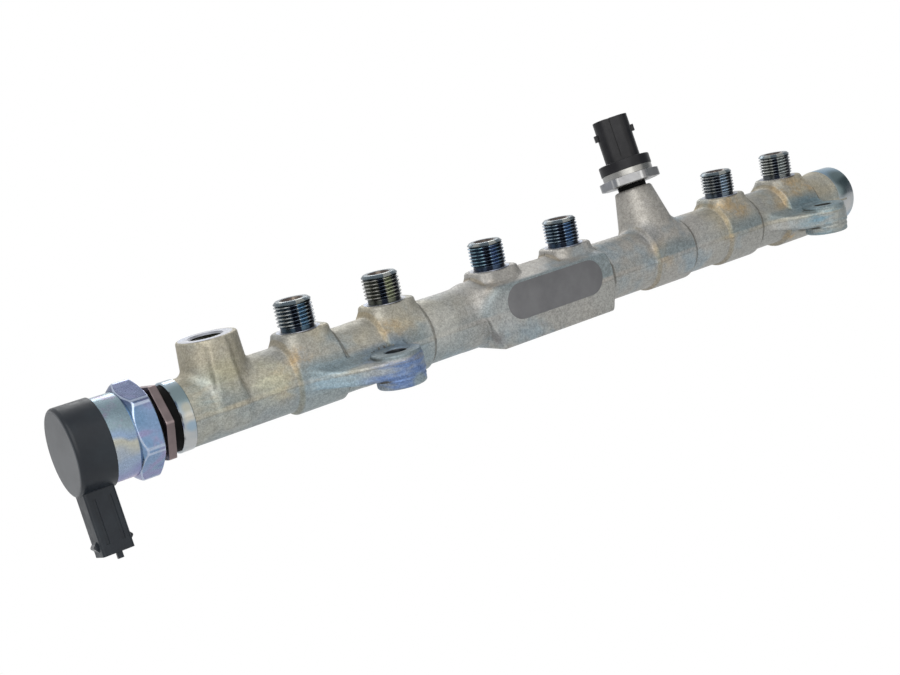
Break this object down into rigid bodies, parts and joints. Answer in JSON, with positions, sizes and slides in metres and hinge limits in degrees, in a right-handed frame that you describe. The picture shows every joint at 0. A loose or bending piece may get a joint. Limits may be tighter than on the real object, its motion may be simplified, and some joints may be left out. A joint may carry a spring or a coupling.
{
  "type": "fuel rail",
  "caption": "Forged common rail for a diesel engine, with threaded injector outlets, bolt lugs on arms, a pressure control valve at one end and a pressure sensor on top.",
  "frame": {"origin": "midway between the two bolt holes, on the flat faces of the lugs that are bolted down", "axes": "X runs along the rail from the control valve to the blind end, Z points the way the outlets stand, Y runs from the lugs to the rail behind them"},
  "size_m": [0.4396, 0.0593, 0.1111],
  "materials": {
    "forged_zinc": "forged and blasted, zinc plated",
    "valve_zinc": "turned, iridescent zinc plating",
    "brown_nut": "satin",
    "black_rubber": "matte",
    "soft_iron": "turned",
    "hard_steel": "ground",
    "spring_steel": "drawn",
    "bobbin_plastic": "moulded",
    "copper_wire": "lacquered copper",
    "cap_plastic": "moulded, soft gloss",
    "tinned_blade": "tin plated",
    "sensor_steel": "turned",
    "board_green": "satin",
    "sleeve_steel": "drawn",
    "sensor_plastic": "moulded, soft gloss"
  },
  "bodies": {
    "rail": {"rail_body": "forged_zinc", "valve_body": "valve_zinc", "lock_nut": "brown_nut", "valve_seal_inner": "black_rubber", "valve_seal_outer": "black_rubber", "shank_o_ring": "black_rubber", "nose_seal": "soft_iron", "valve_seat": "hard_steel", "valve_spring": "spring_steel", "end_cover": "soft_iron", "coil_bobbin": "bobbin_plastic", "coil_winding": "copper_wire", "valve_cap": "cap_plastic", "valve_terminal_1": "tinned_blade", "valve_terminal_2": "tinned_blade", "sensor_body": "sensor_steel", "sensor_seal": "black_rubber", "sensor_cell": "hard_steel", "sensor_board": "board_green", "sensor_sleeve": "sleeve_steel", "sensor_connector": "sensor_plastic", "sensor_terminal_1": "tinned_blade", "sensor_terminal_2": "tinned_blade", "sensor_terminal_3": "tinned_blade"},
    "plunger": {"armature": "soft_iron", "valve_pin": "hard_steel", "valve_ball": "hard_steel"}
  },
  "joints": [
    {"name": "armature_slide", "type": "slide", "parent": "rail", "child": "plunger", "axis": [-1, 0, 0], "range_m": [0, 0.0003], "stiffness_N_per_m": 1500, "springref_m": -0.004, "deforming": ["valve_spring"]}
  ]
}
